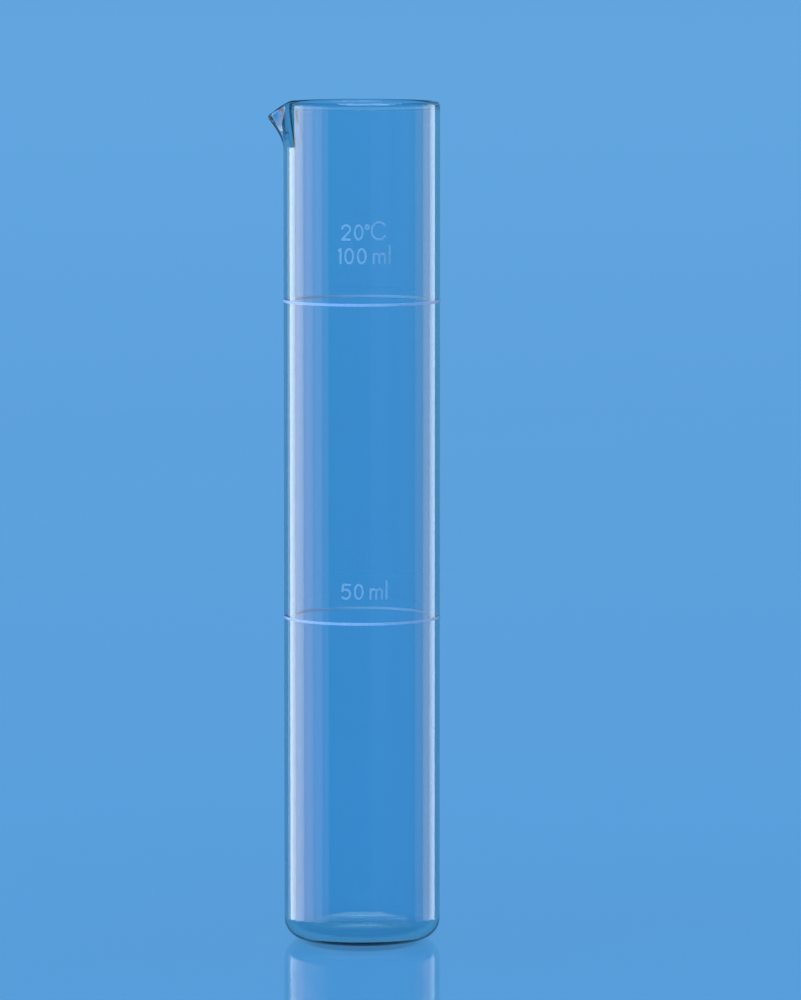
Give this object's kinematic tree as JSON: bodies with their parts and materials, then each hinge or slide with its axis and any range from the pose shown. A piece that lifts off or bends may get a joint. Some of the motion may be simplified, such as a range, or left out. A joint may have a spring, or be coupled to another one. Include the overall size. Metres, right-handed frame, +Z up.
{
  "type": "measuring cylinder",
  "caption": "Clear glass measuring cylinder with enamel ring marks and figures, a flat base, a fire-polished rim and a pulled pouring spout.",
  "frame": {"origin": "centre of the base's flat underside, on the tube's axis", "axes": "+Z up the tube's axis towards the rim; the pouring spout points along -X; the figures face -Y"},
  "size_m": [0.0373, 0.034, 0.1829],
  "materials": {
    "clear_glass": "fire-polished clear borosilicate glass with a slight green-blue edge",
    "pale_enamel": "thin fired white enamel, satin"
  },
  "bodies": {
    "root": {"glass_vessel": "clear_glass", "ring_mark_50ml": "pale_enamel", "ring_mark_100ml": "pale_enamel", "text_50ml_digit_5": "pale_enamel", "text_50ml_digit_0": "pale_enamel", "text_50ml_letter_m": "pale_enamel", "text_50ml_letter_l": "pale_enamel", "text_100ml_digit_1": "pale_enamel", "text_100ml_digit_0_first": "pale_enamel", "text_100ml_digit_0_second": "pale_enamel", "text_100ml_letter_m": "pale_enamel", "text_100ml_letter_l": "pale_enamel", "text_20c_digit_2": "pale_enamel", "text_20c_digit_0": "pale_enamel", "text_20c_degree_sign": "pale_enamel", "text_20c_letter_c": "pale_enamel"}
  },
  "joints": []
}
